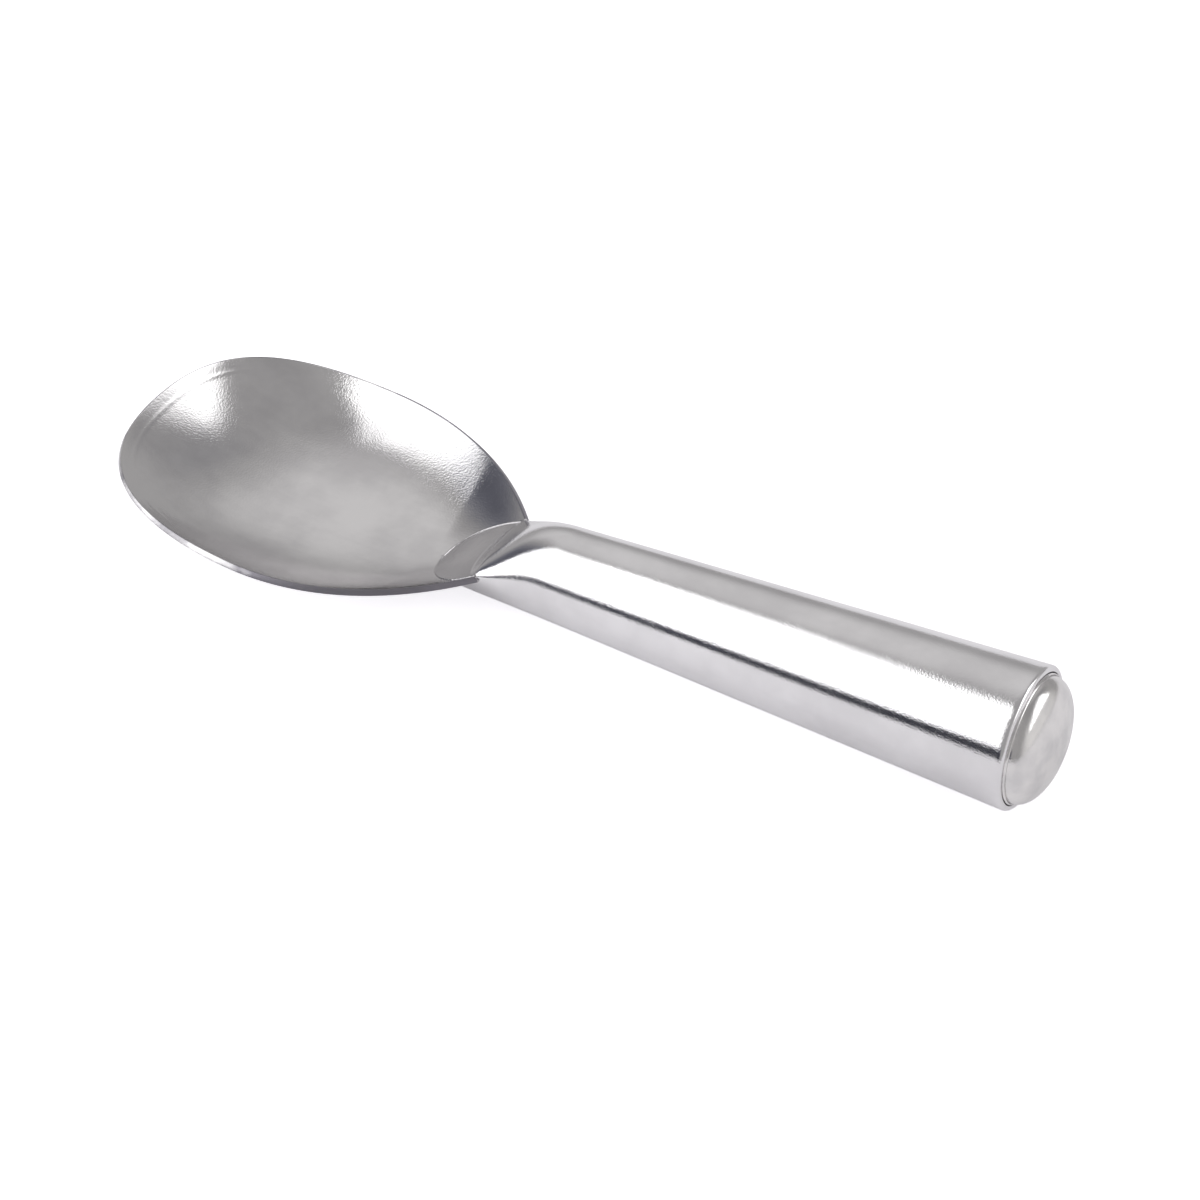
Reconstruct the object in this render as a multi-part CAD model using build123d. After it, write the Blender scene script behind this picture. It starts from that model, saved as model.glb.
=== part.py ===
"""Ice cream spade: a sheet blade welded to a tapered, fluid filled handle.

Frame: millimetres, +X from the blade's tip to the butt of the handle, +Y to the side, +Z up.
The origin is the middle of the bounding box, on the surface that the spade lies on.
"""
from build123d import *
import os
from math import asin, atan, atan2, cos, hypot, sin, sqrt

# ---- blade ---------------------------------------------------------------------------------
BLADE_LENGTH = 82.4  # inside edge of the rim at the tip, to the seam at the neck
BLADE_HALF_WIDTH = 30.1  # inside edge of the rim, at the widest place
BLADE_SHEET = 1.3  # thickness of the blade's sheet
TIP_SHEET = 0.8  # thickness at the tip, where the edge is drawn down
DRAWN_SHARE = 0.4  # share of the length over which the sheet thins towards the tip
WIDEST_FROM_TIP = 38.7  # where the blade is widest, measured from the tip
TIP_FULLNESS = 0.577  # handle of the outline's curve at the tip, as a share of the half width
TIP_SHOULDER = 0.812  # handle on the tip side of the widest place, as a share of its run
NECK_SHOULDER = 0.569  # handle on the neck side of the widest place, as a share of its run
NECK_HANDLE = 0.137  # handle at the neck corner, as a share of the same run
NECK_FLARE = 46.0  # angle at which the outline leaves the neck corner, degrees
TIP_RIM_HEIGHT = 14.0  # top of the rim at the tip
NECK_RIM_HEIGHT = 9.8  # top of the rim at the neck corners
RIM_SAG = 2.0  # how far the rim dips below a straight line from tip to neck
FLOOR_START = 0.45  # where the floor becomes level, as a share of the length from the tip
HEEL_LENGTH = 17.0  # stretch before the seam where the floor rises again
HEEL_RISE = 5.6  # how far it rises by the seam
HEEL_CURVE = 1.5  # power of the distance by which it rises
WALL_ROUNDNESS = 0.50  # handle of the section's curve: 1/3 is a parabola, near 1 a half pipe
NECK_ROUNDNESS = 1 / 3  # the same at the neck
ROUNDNESS_CHANGE = (1 / 2, 5 / 6)  # shares of the length between which it goes from one to the other
NECK_HALF_WIDTH = 9.2  # inside edge of the rim at the neck corners

# ---- handle --------------------------------------------------------------------------------
HANDLE_LENGTH = 112.7  # butt plane to the seam at the neck
BUTT_RADIUS = 14.0  # outside of the tube at the butt
TUBE_TAPER = 0.0444  # loss of radius for each millimetre towards the neck
TUBE_WALL = 1.2  # thickness of the tube's wall
BEND_LENGTH = 15.7  # stretch before the seam where the top of the tube bends down
SEAM_HALF_WIDTH = 9.56  # outside of the tube at the seam
SEAM_CROWN = 2.0  # height of the tube's top above the neck corners, at the seam
BELLY_REACH = 13.5  # how far the tube's lower half runs on under the blade's heel
BORE_END_WALL = 5.0  # solid metal from the bore's end to the seam
NOSE_REACH = 4.4  # how far the tube's rounded nose lies out over the neck plate
NOSE_LAP = 0.3  # height of the nose above the tube's crown where they meet
LIP_OUTER_ROUND = 0.7  # rounding of the butt's outer edge
LIP_INNER_ROUND = 0.35  # rounding of the butt's inner edge

# ---- neck plate and its weld ---------------------------------------------------------------
PLATE_REACH = 14.4  # from the seam to where the plate meets the blade's floor
PLATE_THICKNESS = 1.2
WELD_RADIUS = 0.7  # the bead between the plate and the blade

# ---- butt fittings -------------------------------------------------------------------------
CAP_HEIGHT = 5.8  # dome of the cap beyond the butt plane
CAP_WALL = 1.2
CAP_SKIRT = 8.0  # length of the cap that is pressed into the tube
DOME_INSET = 0.15  # groove between the dome's edge and the tube's bore
PLUG_GAP = 3.0  # from the cap's skirt to the plug
PLUG_LENGTH = 9.0
RING_DIAMETER = 2.0  # thickness of the O-ring's section
RING_GROOVE_WIDTH = 2.6
GROOVE_DEPTH = 0.6  # depth of the groove around the dome
FIT_CLEARANCE = 0.02  # between pressed pieces, each side
FLUID_CLEARANCE = 0.05  # skin left between the fluid and what holds it

# ---- places that follow --------------------------------------------------------------------
TIP_SLOPE = 2 * (TIP_RIM_HEIGHT - BLADE_SHEET) / (FLOOR_START * BLADE_LENGTH)
RIM_OUTSET = TIP_SHEET * sin(atan(TIP_SLOPE))  # outside edge of the rim beyond its inside edge
OVERALL = RIM_OUTSET + BLADE_LENGTH + HANDLE_LENGTH + CAP_HEIGHT
X_TIP = -OVERALL / 2 + RIM_OUTSET
X_SEAM = X_TIP + BLADE_LENGTH
X_BUTT = X_SEAM + HANDLE_LENGTH
TILT = asin(TUBE_TAPER)  # the tube lies on its lower edge, so its axis falls by its own taper
BUTT_CENTRE = Vector(X_BUTT, 0, BUTT_RADIUS * cos(TILT))
AXIS = Vector(-cos(TILT), 0, -sin(TILT))  # from the butt to the neck
SEAM_DISTANCE = HANDLE_LENGTH / cos(TILT)  # the seam's place along that axis
PLATE_SLOPE = atan2(NECK_RIM_HEIGHT - BLADE_SHEET, PLATE_REACH)
BEND_START = SEAM_DISTANCE - BEND_LENGTH  # along the axis, to where the neck begins to bend
BORE_SHARE = 1 - BORE_END_WALL / BEND_LENGTH  # share of the bend that the bore reaches
TIP_START = 0.08  # the first section lies this share of the way along the outline's first curve
SPAN_STATIONS = 8  # steps of each of the outline's two curves
NECK_STATIONS = 3  # steps of the bending neck
BORE_OVERRUN = 1.0  # the bore runs on past the butt
QUARTER_ROUND = 4 / 3 * (sqrt(2) - 1)  # Bezier handle of a quarter circle, as a share of its radius
FAR = 60.0  # size of the blocks that trim pieces off


def bezier(points, t):
    """Place on a Bezier curve of any degree."""
    while len(points) > 1:
        points = [a + (b - a) * t for a, b in zip(points, points[1:])]
    return points[0]


def outline_spans():
    """The two curves of the blade's half outline, tip to widest and widest to neck."""
    run = BLADE_LENGTH - WIDEST_FROM_TIP
    reach = NECK_HANDLE * run
    flare = Vector(-1, 0).rotate(Axis.Z, -NECK_FLARE) * reach
    neck = Vector(BLADE_LENGTH, NECK_HALF_WIDTH)
    widest = Vector(WIDEST_FROM_TIP, BLADE_HALF_WIDTH)
    front = [
        Vector(0, 0),
        Vector(0, TIP_FULLNESS * BLADE_HALF_WIDTH),
        Vector(WIDEST_FROM_TIP * (1 - TIP_SHOULDER), BLADE_HALF_WIDTH),
        widest,
    ]
    back = [widest, widest + Vector(NECK_SHOULDER * run, 0), neck + flare, neck]
    return front, back


def rim_height(share):
    """Top of the rim, at a share of the blade's length from the tip."""
    return TIP_RIM_HEIGHT + (NECK_RIM_HEIGHT - TIP_RIM_HEIGHT) * share - RIM_SAG * 4 * share * (1 - share)


def keel(along):
    """Height and slope of the blade's inside along its middle line."""
    floor_start = FLOOR_START * BLADE_LENGTH
    ramp = max(0.0, 1 - along / floor_start)
    heel = max(0.0, 1 - (BLADE_LENGTH - along) / HEEL_LENGTH)
    height = BLADE_SHEET + (TIP_RIM_HEIGHT - BLADE_SHEET) * ramp**2 + HEEL_RISE * heel**HEEL_CURVE
    heel_slope = HEEL_CURVE * HEEL_RISE / HEEL_LENGTH * heel ** (HEEL_CURVE - 1)
    return height, heel_slope - TIP_SLOPE * ramp


def sheet_at(along):
    """Thickness of the blade's sheet, thinner towards the tip."""
    share = min(1.0, along / (DRAWN_SHARE * BLADE_LENGTH))
    return TIP_SHEET + (BLADE_SHEET - TIP_SHEET) * share


def knee_for(bottom, rim):
    """Height of a section curve's two middle points, which brings its lowest point to the bottom."""
    return (4 * bottom - rim) / 3


def blade_curves(along, half_width, outward):
    """Inside and outside curves of a blade section; outward is the rim's direction in plan."""
    share = along / BLADE_LENGTH
    change_start, change_end = ROUNDNESS_CHANGE
    blend = min(1.0, max(0.0, (share - change_start) / (change_end - change_start)))
    roundness = WALL_ROUNDNESS + (NECK_ROUNDNESS - WALL_ROUNDNESS) * blend
    rim = rim_height(share)
    bottom, slope = keel(along)
    knee = roundness * half_width
    knee_height = knee_for(bottom, rim)
    x = X_TIP + along
    sheet = sheet_at(along)

    # the outside lies one sheet away, square to the inside; the heel's sections stay upright
    lean = atan(min(0.0, slope))
    wall = atan(hypot((rim - knee_height) / (half_width - knee), min(0.0, slope)))
    fore = min(0.0, outward.X)
    rim_step = Vector(fore * sin(wall), outward.Y * sin(wall), -cos(wall)) * sheet
    low_x = x + sheet * sin(lean)
    low_rim = rim + rim_step.Z
    low_bottom = bottom - sheet * cos(lean)
    low_knee = knee_for(low_bottom, low_rim)
    low_half = half_width + rim_step.Y
    knee_out = knee + rim_step.Y * roundness

    def curve(edge_x, knee_x, half, edge_z, knee_y, knee_z):
        sides = ((-1, edge_x, half, edge_z), (-1, knee_x, knee_y, knee_z),
                 (1, knee_x, knee_y, knee_z), (1, edge_x, half, edge_z))
        return [Vector(px, side * py, pz) for side, px, py, pz in sides]

    inside = curve(x, x, half_width, rim, knee, knee_height)
    outside = curve(x + rim_step.X, low_x, low_half, low_rim, knee_out, low_knee)
    return inside, outside


def closed_section(upper, lower):
    """Closed wire from two curves whose ends are joined by straight edges."""
    return Wire([
        Edge.make_bezier(*upper),
        Edge.make_line(upper[-1], lower[-1]),
        Edge.make_bezier(*reversed(lower)),
        Edge.make_line(lower[0], upper[0]),
    ])


def tip_curves(along, half_width):
    """Curves of the flat first section at the tip, a strip as thick as the sheet."""
    height, slope = keel(along)
    lean = atan(slope)
    top = Vector(X_TIP + along, 0, height)
    down = Vector(sin(lean), 0, -cos(lean)) * sheet_at(along)
    inner = [top + Vector(0, half_width, 0) * share for share in (-1, -1 / 3, 1 / 3, 1)]
    return inner, [point + down for point in inner]


def blade_stations():
    """Inside and outside curves of every section, from the tip to the seam."""
    front, back = outline_spans()
    span = (1 - TIP_START) / SPAN_STATIONS
    steps = [(front, TIP_START + span * step) for step in range(SPAN_STATIONS + 1)]
    steps += [(back, step / SPAN_STATIONS) for step in range(1, SPAN_STATIONS + 1)]
    first = bezier(*steps[0])
    stations = [tip_curves(first.X, first.Y)]
    for points, t in steps[1:]:
        place = bezier(points, t)
        heading = bezier([b - a for a, b in zip(points, points[1:])], t).normalized()
        stations.append(blade_curves(place.X, place.Y, Vector(-heading.Y, heading.X)))
    return stations


def make_bowl():
    """Blade: a pressed sheet with an egg shaped rim that narrows to two corners at the neck."""
    return Solid.make_loft([closed_section(*station) for station in blade_stations()])


def tube_plane(distance):
    """Plane square to the handle's axis, with its Y axis up."""
    return Plane(BUTT_CENTRE + AXIS * distance, x_dir=(0, -1, 0), z_dir=AXIS)


def tube_radius(distance):
    """Outside radius of the straight tube at a distance from the butt."""
    return BUTT_RADIUS - TUBE_TAPER * distance


def oval(plane, spring, half, crown, belly):
    """Closed section from four quarter rounds, flatter above the spring line than below."""
    def quarter(side, height):
        turn = QUARTER_ROUND
        points = [
            (side * half, spring),
            (side * half, spring + height * turn),
            (side * half * turn, spring + height),
            (0, spring + height),
        ]
        return [plane.from_local_coords(Vector(*p)) for p in points]

    return Wire([
        Edge.make_bezier(*quarter(1, crown)),
        Edge.make_bezier(*reversed(quarter(-1, crown))),
        Edge.make_bezier(*quarter(-1, -belly)),
        Edge.make_bezier(*reversed(quarter(1, -belly))),
    ])


def tube_section(start, inset):
    """Section of the straight stretch of the tube."""
    radius = tube_radius(start) - inset
    return oval(tube_plane(start), 0, radius, radius, radius)


def neck_section(share, inset):
    """Section of the bending neck, which leans less and less and stands upright at the seam."""
    lean = TILT * (1 - share)
    centre = BUTT_CENTRE + AXIS * (BEND_START + share * BEND_LENGTH)
    plane = Plane(centre, x_dir=(0, -1, 0), z_dir=(-cos(lean), 0, -sin(lean)))
    seam_rise = NECK_RIM_HEIGHT - (BUTT_CENTRE + AXIS * SEAM_DISTANCE).Z
    start = tube_radius(BEND_START)
    spring = share * seam_rise
    half = start + (SEAM_HALF_WIDTH - start) * share
    crown = start + (SEAM_CROWN - start) * share**2
    belly = centre.Z / cos(lean) + spring
    return oval(plane, spring, half - inset, crown - inset, belly - inset)


def tube_body(start, inset, end_share):
    """The handle's outside, or what fills its bore when inset by the wall."""
    straight = Solid.make_loft([tube_section(start, inset), neck_section(0, inset)], ruled=True)
    stations = [neck_section(end_share * step / NECK_STATIONS, inset) for step in range(NECK_STATIONS + 1)]
    return straight.fuse(Solid.make_loft(stations)).solid()


def ahead_of(x):
    """Block that fills everything on the blade's side of an upright plane."""
    return Pos(x - FAR / 2, 0, 0) * Box(FAR, FAR, FAR)


def plate_frame():
    """Frame on the neck plate's top: X up the slope to the neck corners, Z square to the plate."""
    return Plane(
        origin=(X_SEAM, 0, NECK_RIM_HEIGHT),
        x_dir=(cos(PLATE_SLOPE), 0, sin(PLATE_SLOPE)),
        z_dir=(-sin(PLATE_SLOPE), 0, cos(PLATE_SLOPE)),
    )


def make_nose():
    """Rounded end of the tube, half of an ellipsoid that lies on the neck plate."""
    size = (NOSE_REACH, NECK_HALF_WIDTH - FIT_CLEARANCE, SEAM_CROWN * cos(PLATE_SLOPE) + NOSE_LAP)
    above_plate = Pos(0, 0, FAR / 2) * Box(FAR, FAR, FAR)
    whole = scale(Rot(0, 0, 180) * Sphere(1), size)
    return (plate_frame() * (whole & above_plate)).solid()


def butt_face(tube):
    """Flat ring at the very end of the tube."""
    return tube.faces().sort_by(Axis(BUTT_CENTRE, -AXIS))[-1]


def make_handle_tube(bowl):
    """Tapered tube with a rounded butt, a bent neck with a nose, and a belly under the heel."""
    bore = tube_body(-BORE_OVERRUN, TUBE_WALL, BORE_SHARE)
    tube = (tube_body(0, 0, 1) - bore).solid()
    tube = tube.fillet(LIP_OUTER_ROUND, butt_face(tube).edges().group_by(SortBy.LENGTH)[-1])
    tube = tube.fillet(LIP_INNER_ROUND, butt_face(tube).edges().group_by(SortBy.LENGTH)[0])
    seam_run = Solid.extrude(Face(neck_section(1, 0)), Vector(-BELLY_REACH, 0, 0))
    belly = (seam_run - bowl).solids().sort_by(Axis.Z)[0]
    return (tube + belly + make_nose()).solid()


def make_neck_plate(bowl):
    """Flat plate that slopes from the neck corners to the floor and closes the tube."""
    slab = Pos(0, 0, -PLATE_THICKNESS / 2) * Box(4 * PLATE_REACH, 4 * NECK_HALF_WIDTH, PLATE_THICKNESS)
    slab = (plate_frame() * slab) & ahead_of(X_SEAM)
    middle = plate_frame().from_local_coords(Vector(-PLATE_REACH / 2, 0, -PLATE_THICKNESS / 2))
    return (slab - bowl).solids().sort_by_distance(middle)[0]


def make_neck_weld(bowl, plate, tube):
    """Bead along the line where the plate meets the blade, from corner to corner."""
    top = plate.faces().sort_by(Axis(plate_frame().origin, plate_frame().z_dir))[-1]
    line = [edge for edge in top.edges() if edge.center().X < X_SEAM - PLATE_THICKNESS]
    path = Wire(line)
    section = Plane(path @ 0, z_dir=path % 0) * Circle(WELD_RADIUS)
    bead = sweep(section, path=path)
    return (bead - bowl - plate - tube).solids().sort_by(SortBy.VOLUME)[-1]


def bore_radius(distance):
    """Inside radius of the straight tube at a distance from the butt, less a press clearance."""
    return tube_radius(distance) - TUBE_WALL - FIT_CLEARANCE


def turned(profile):
    """Solid turned about the handle's axis; profile Y points out of the butt, X is the radius."""
    face = Plane.XZ * profile
    return (Plane(BUTT_CENTRE, x_dir=(0, 1, 0), z_dir=-AXIS) * revolve(face, Axis.Z)).solid()


def make_end_cap():
    """Pressed cap: a shallow dome with a skirt that is driven into the tube."""
    edge = bore_radius(0) - DOME_INSET
    dome = Ellipse(edge, CAP_HEIGHT) - Ellipse(edge - CAP_WALL, CAP_HEIGHT - CAP_WALL)
    dome = dome & Pos(edge / 2, CAP_HEIGHT / 2) * Rectangle(edge, CAP_HEIGHT)
    skirt = Polygon(
        (edge, 0),
        (edge, -GROOVE_DEPTH),
        (bore_radius(GROOVE_DEPTH), -GROOVE_DEPTH),
        (bore_radius(CAP_SKIRT), -CAP_SKIRT),
        (bore_radius(CAP_SKIRT) - CAP_WALL, -CAP_SKIRT),
        (edge - CAP_WALL, 0),
        align=None,
    )
    return (turned(dome) + turned(skirt)).solid()


def make_bore_plug():
    """Tapered plug that seals the bore, with a groove for its ring."""
    near = CAP_SKIRT + PLUG_GAP
    far = near + PLUG_LENGTH
    body = Polygon(
        (0, -near),
        (bore_radius(near), -near),
        (bore_radius(far), -far),
        (0, -far),
        align=None,
    )
    middle = near + PLUG_LENGTH / 2
    floor = bore_radius(middle) - RING_DIAMETER
    groove = Pos(floor + RING_DIAMETER, -middle) * Rectangle(2 * RING_DIAMETER, RING_GROOVE_WIDTH)
    return turned(body - groove)


def make_plug_ring():
    """O-ring in the plug's groove, touching the groove's floor and the bore."""
    middle = CAP_SKIRT + PLUG_GAP + PLUG_LENGTH / 2
    centre = bore_radius(middle) - RING_DIAMETER / 2
    return turned(Pos(centre, -middle) * Circle(RING_DIAMETER / 2 - FIT_CLEARANCE))


def make_thermal_fluid():
    """Fluid that fills the bore from the plug to its end in the neck."""
    plug_end = CAP_SKIRT + PLUG_GAP + PLUG_LENGTH
    end_share = BORE_SHARE - FLUID_CLEARANCE / BEND_LENGTH
    return tube_body(plug_end + FLUID_CLEARANCE, TUBE_WALL + FLUID_CLEARANCE, end_share)


def main():
    """Build every piece and write each to its own file."""
    bowl = make_bowl()
    tube = make_handle_tube(bowl)
    plate = make_neck_plate(bowl)
    pieces = {
        "bowl": bowl,
        "neck_plate": plate,
        "neck_weld": make_neck_weld(bowl, plate, tube),
        "handle_tube": tube,
        "thermal_fluid": make_thermal_fluid(),
        "bore_plug": make_bore_plug(),
        "plug_o_ring": make_plug_ring(),
        "end_cap": make_end_cap(),
    }
    os.makedirs("parts", exist_ok=True)
    for name, shape in pieces.items():
        export_step(shape, f"parts/{name}.step")
        print(f"{name}: {shape.volume:.1f} mm3, {shape.bounding_box().size}")


if __name__ == "__main__":
    main()
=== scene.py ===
"""Looks of an ice cream spade: a pressed blade welded to a tapered, fluid filled handle.

Everything is in metres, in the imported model's frame: +X from the blade's tip to the handle's butt, +Z up.
"""
import logging
import math
from dataclasses import dataclass
from enum import Enum

import bmesh
import bpy
import numpy as np
from mathutils import Matrix, Quaternion, Vector


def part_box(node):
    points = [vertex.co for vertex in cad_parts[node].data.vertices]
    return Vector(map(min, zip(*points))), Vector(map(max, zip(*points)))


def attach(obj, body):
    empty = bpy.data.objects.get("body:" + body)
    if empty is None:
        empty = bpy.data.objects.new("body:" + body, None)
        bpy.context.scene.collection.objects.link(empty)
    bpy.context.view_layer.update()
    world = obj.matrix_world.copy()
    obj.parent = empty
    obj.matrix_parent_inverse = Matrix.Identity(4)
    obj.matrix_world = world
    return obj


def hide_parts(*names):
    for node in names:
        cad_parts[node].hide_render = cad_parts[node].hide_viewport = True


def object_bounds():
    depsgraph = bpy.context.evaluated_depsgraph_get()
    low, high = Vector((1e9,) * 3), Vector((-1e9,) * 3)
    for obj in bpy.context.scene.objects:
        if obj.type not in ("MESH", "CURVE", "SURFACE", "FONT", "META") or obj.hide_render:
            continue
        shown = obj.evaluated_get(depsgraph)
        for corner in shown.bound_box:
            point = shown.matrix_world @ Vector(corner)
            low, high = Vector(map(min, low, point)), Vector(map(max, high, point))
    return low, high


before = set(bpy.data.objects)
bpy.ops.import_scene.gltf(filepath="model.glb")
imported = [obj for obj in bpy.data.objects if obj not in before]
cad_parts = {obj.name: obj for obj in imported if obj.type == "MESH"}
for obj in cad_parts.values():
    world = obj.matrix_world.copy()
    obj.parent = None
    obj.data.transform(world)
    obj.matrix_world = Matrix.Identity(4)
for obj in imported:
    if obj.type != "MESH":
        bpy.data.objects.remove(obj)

CAD_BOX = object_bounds()
MM = 0.001
log = logging.getLogger("spade")

Socket = bpy.types.NodeSocket
Value = Socket | float


class Slot(Enum):
    """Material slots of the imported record."""

    BLADE = "blade_metal"
    PLATE = "neck_plate_metal"
    WELD = "weld_metal"
    HANDLE = "handle_metal"
    FLUID = "thermal_fluid"
    PLUG = "plug_nylon"
    RING = "ring_rubber"
    CAP = "cap_metal"


# ---- node trees ----


MIX_A, MIX_B, MIX_RESULT = 6, 7, 2  # the colour sockets of a Mix node


class Tree:
    """Adds nodes to one tree and joins them."""

    def __init__(self, tree: bpy.types.NodeTree) -> None:
        """Start on a shader, world or geometry tree, and empty it."""
        self.tree = tree
        tree.nodes.clear()

    def add(self, kind: str, inputs: dict | None = None, **settings) -> bpy.types.Node:
        """Add a node, set its properties and give its inputs a value or a link.

        Args:
            kind: The node's type name.
            inputs: A plain value or another node's output, by socket name or number.
            settings: Properties of the node.

        Returns:
            The new node.
        """
        node = self.tree.nodes.new(kind)
        for name, value in settings.items():
            setattr(node, name, value)
        for key, value in (inputs or {}).items():
            if isinstance(value, Socket):
                self.tree.links.new(value, node.inputs[key])
            else:
                node.inputs[key].default_value = value
        return node

    def math(self, operation: str, *values: Value, clamp: bool = False) -> Socket:
        """Add a Math node on plain values or sockets and return its result."""
        node = self.add("ShaderNodeMath", dict(enumerate(values)), operation=operation, use_clamp=clamp)
        return node.outputs[0]

    def spread(self, value: Socket, low: float, high: float, to_low: float, to_high: float) -> Socket:
        """Map a value smoothly from one range to another, clamped, and return the result."""
        inputs = {"Value": value, "From Min": low, "From Max": high, "To Min": to_low, "To Max": to_high}
        return self.add("ShaderNodeMapRange", inputs, interpolation_type="SMOOTHSTEP").outputs[0]

    def noise(self, vector: Socket, scale: float, detail: float = 3.0, roughness: float = 0.55) -> Socket:
        """Add a noise texture and return its grey value."""
        inputs = {"Vector": vector, "Scale": scale, "Detail": detail, "Roughness": roughness}
        return self.add("ShaderNodeTexNoise", inputs).outputs["Fac"]

    def stretched(self, vector: Socket, scale: tuple, turn: tuple = (0, 0, 0)) -> Socket:
        """Turn and stretch a vector with a Mapping node and return the result."""
        inputs = {"Vector": vector, "Rotation": turn, "Scale": scale}
        return self.add("ShaderNodeMapping", inputs).outputs[0]

    def tint(self, factor: Socket, low: tuple, high: tuple) -> Socket:
        """Mix two colours by a factor and return the result."""
        inputs = {"Factor": factor, MIX_A: (*low, 1), MIX_B: (*high, 1)}
        return self.add("ShaderNodeMix", inputs, data_type="RGBA").outputs[MIX_RESULT]


# ---- finishes ----


def new_material(name: str) -> tuple[bpy.types.Material, Tree]:
    """Make a material and return it with its empty tree."""
    material = bpy.data.materials.new(name)
    material.use_nodes = True
    return material, Tree(material.node_tree)


@dataclass(frozen=True)
class Metal:
    """Worked aluminium: colour, gloss, grain, the marks of polishing and light scratches.

    A stretch of painted shade, a dark reflection painted into the colour, is given by where it starts and
    ends along X, and by how much of the light colour it loses.
    """

    name: str
    light: tuple = (0.76, 0.75, 0.765)
    dark: tuple = (0.66, 0.65, 0.665)
    roughness: tuple = (0.06, 0.10)
    grain_depth: float = 0.022 * MM
    grain_size: float = 0.39 * MM
    streak_depth: float = 0.0012 * MM
    streak_size: tuple = (40 * MM, 2.5 * MM, 2.5 * MM)
    streak_turn: tuple = (0, 0, 0)
    mottle_size: float = 16 * MM
    scratch_depth: float = 0.0008 * MM
    scratch_gloss: float = 0.04
    scratch_stretch: tuple = (90, 1900, 1900)
    scratch_turns: tuple = ((0.3, 0.2, 0.5), (1.1, 0.4, -0.7))
    anisotropic: float = 0.1
    streak_share: float = 0.10
    wear_and_painted_shade: tuple = ()

    def build(self) -> bpy.types.Material:
        """Make the material.

        Returns:
            The finished material.
        """
        material, tree = new_material(self.name)
        place = tree.add("ShaderNodeTexCoord").outputs["Object"]
        streaks = self._streaks(tree, place)
        mottle = tree.noise(place, 1 / self.mottle_size, 4)
        grain = tree.noise(place, 1 / self.grain_size, 2, 0.65)
        scratches = self._scratches(tree, place)

        # wear: mottle and polishing streaks mixed; the stretch of painted shade is taken off the tone below
        wear_and_painted_shade = tree.math("ADD", tree.math("MULTIPLY", mottle, 1 - self.streak_share),
                         tree.math("MULTIPLY", streaks, self.streak_share))
        tone = tree.spread(wear_and_painted_shade, 0.35, 0.65, 0, 1)
        # painted shade: the colour darkens over a stretch along X, standing in for a dark reflection
        if self.wear_and_painted_shade:
            start, end, share = self.wear_and_painted_shade
            along = tree.add("ShaderNodeSeparateXYZ", {0: place}).outputs[0]
            tone = tree.math("SUBTRACT", tone, tree.spread(along, start, end, 0, share), clamp=True)
        colour = tree.tint(tone, self.dark, self.light)
        gloss = tree.spread(wear_and_painted_shade, 0.36, 0.64, self.roughness[1], self.roughness[0])
        gloss = tree.math("ADD", gloss, tree.math("MULTIPLY", scratches, self.scratch_gloss))

        normal = self._bump(tree, grain, self.grain_depth)
        normal = self._bump(tree, streaks, self.streak_depth, normal)
        normal = self._bump(tree, scratches, -self.scratch_depth, normal)
        shader = tree.add("ShaderNodeBsdfPrincipled", {
            "Base Color": colour,
            "Metallic": 1.0,
            "Roughness": gloss,
            "Anisotropic": self.anisotropic,
            "Normal": normal,
        })
        tree.add("ShaderNodeOutputMaterial", {"Surface": shader.outputs[0]})
        return material

    def _streaks(self, tree: Tree, place: Socket) -> Socket:
        """Long fine marks that polishing leaves along the piece."""
        stretch = tuple(1 / size for size in self.streak_size)
        return tree.noise(tree.stretched(place, stretch, self.streak_turn), 1, 3, 0.6)

    def _scratches(self, tree: Tree, place: Socket) -> Socket:
        """Sparse hairline scratches in two directions.

        Args:
            tree: The material's tree.
            place: Place on the object.

        Returns:
            1 on a scratch and 0 off it.
        """
        lines = None
        for turn in self.scratch_turns:
            field = tree.stretched(place, self.scratch_stretch, turn)
            line = tree.spread(tree.noise(field, 1, 1, 0.4), 0.74, 0.78, 0, 1)
            lines = line if lines is None else tree.math("MAXIMUM", lines, line)
        return lines

    @staticmethod
    def _bump(tree: Tree, height: Socket, depth: float, normal: Socket | None = None) -> Socket:
        """Add a Bump node for a relief of a real depth.

        Args:
            tree: The material's tree.
            height: Relief from 0 to 1.
            depth: Its depth, below 0 for one that sinks in.
            normal: Normal of the relief below it, if there is one.

        Returns:
            The new normal.
        """
        inputs = {"Strength": 1.0, "Distance": abs(depth), "Height": height}
        if normal is not None:
            inputs["Normal"] = normal
        return tree.add("ShaderNodeBump", inputs, invert=depth < 0).outputs[0]


@dataclass(frozen=True)
class Solid:
    """Plain moulded or liquid filling of the handle, with a little cloud and grain."""

    name: str
    light: tuple
    dark: tuple
    roughness: tuple
    cloud_size: float
    grain_size: float
    grain_depth: float

    def build(self) -> bpy.types.Material:
        """Make the material.

        Returns:
            The finished material.
        """
        material, tree = new_material(self.name)
        place = tree.add("ShaderNodeTexCoord").outputs["Object"]
        cloud = tree.noise(place, 1 / self.cloud_size, 4)
        grain = tree.noise(place, 1 / self.grain_size, 3)
        bump = tree.add("ShaderNodeBump", {"Distance": self.grain_depth, "Height": grain})
        shader = tree.add("ShaderNodeBsdfPrincipled", {
            "Base Color": tree.tint(cloud, self.dark, self.light),
            "Roughness": tree.spread(cloud, 0.3, 0.7, *self.roughness),
            "Normal": bump.outputs[0],
        })
        tree.add("ShaderNodeOutputMaterial", {"Surface": shader.outputs[0]})
        return material


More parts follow.
